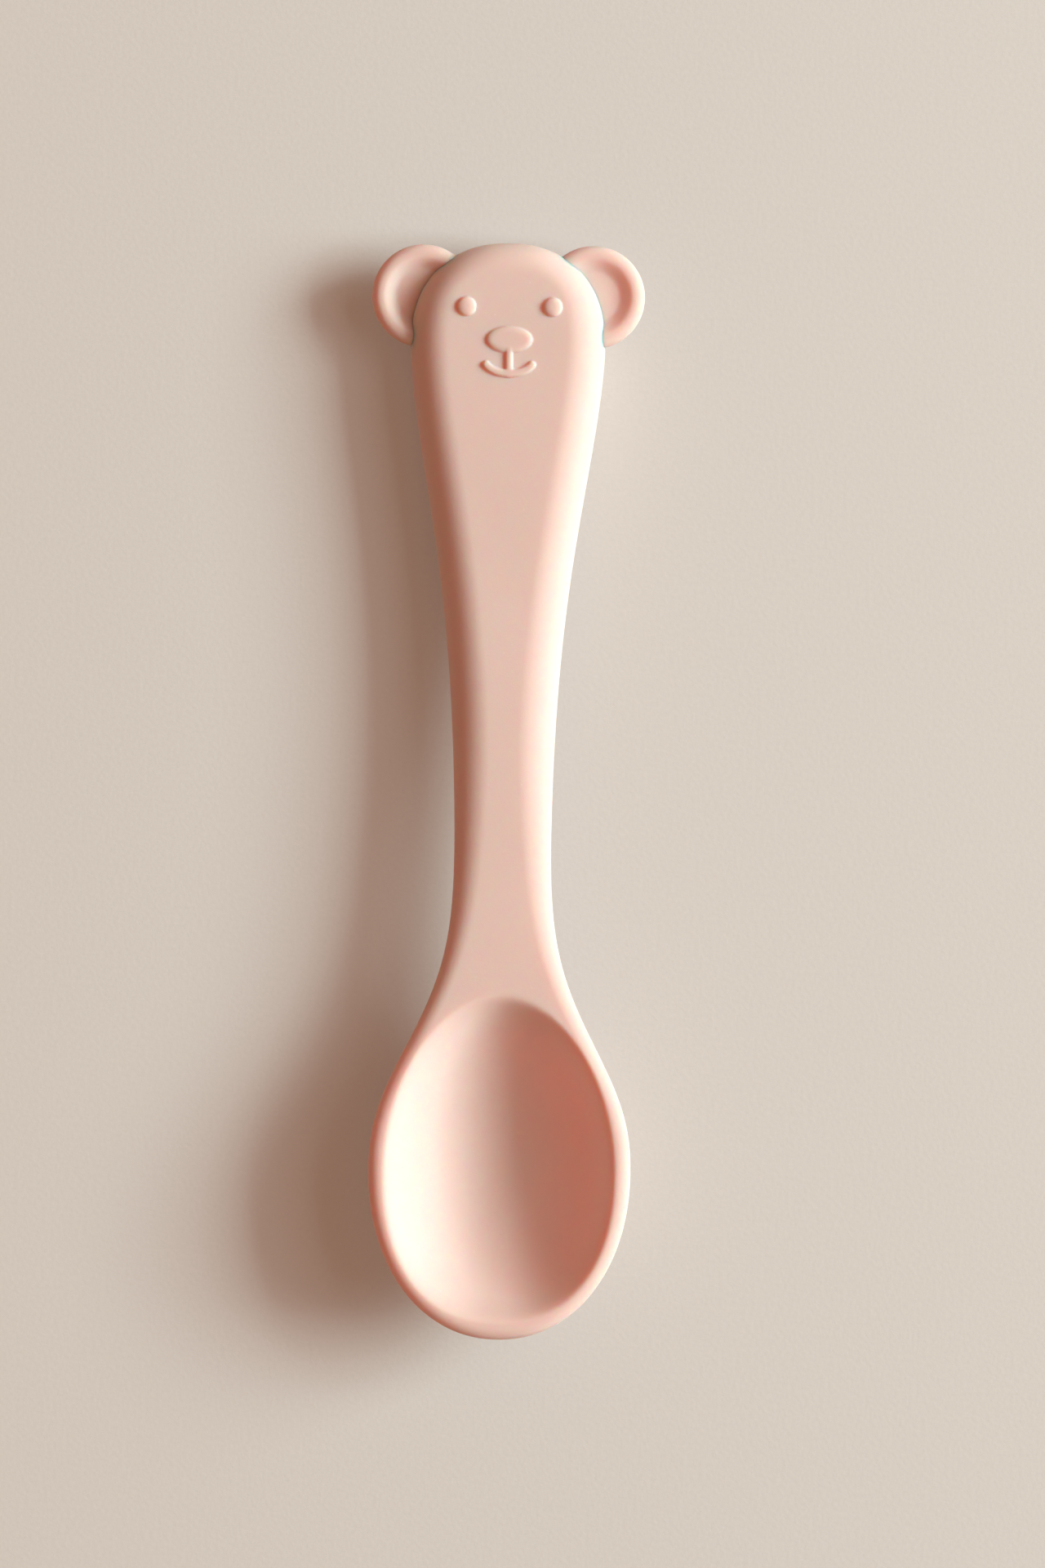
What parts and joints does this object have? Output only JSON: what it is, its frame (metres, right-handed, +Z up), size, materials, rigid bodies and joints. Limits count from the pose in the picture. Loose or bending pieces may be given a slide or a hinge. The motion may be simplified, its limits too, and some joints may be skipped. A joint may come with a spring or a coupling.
{
  "type": "baby spoon",
  "caption": "Soft one-colour silicone feeding spoon with a deep oval bowl and a flat handle that ends in a bear's head with ears and a raised face.",
  "frame": {"origin": "on the table, under the middle of the spoon's length and width, as the spoon lies on its back", "axes": "+Z up from the table through the open side of the bowl, +Y along the handle from the bowl's tip to the bear's crown, +X across to the side of the right ear as seen from above"},
  "size_m": [0.035, 0.14, 0.014],
  "materials": {
    "silicone": "matte dusty-pink moulded silicone",
    "core_nylon": "natural moulded nylon"
  },
  "bodies": {
    "root": {"silicone_body": "silicone", "left_ear": "silicone", "right_ear": "silicone", "left_eye": "silicone", "right_eye": "silicone", "nose": "silicone", "mouth": "silicone", "stiffening_core": "core_nylon"}
  },
  "joints": []
}
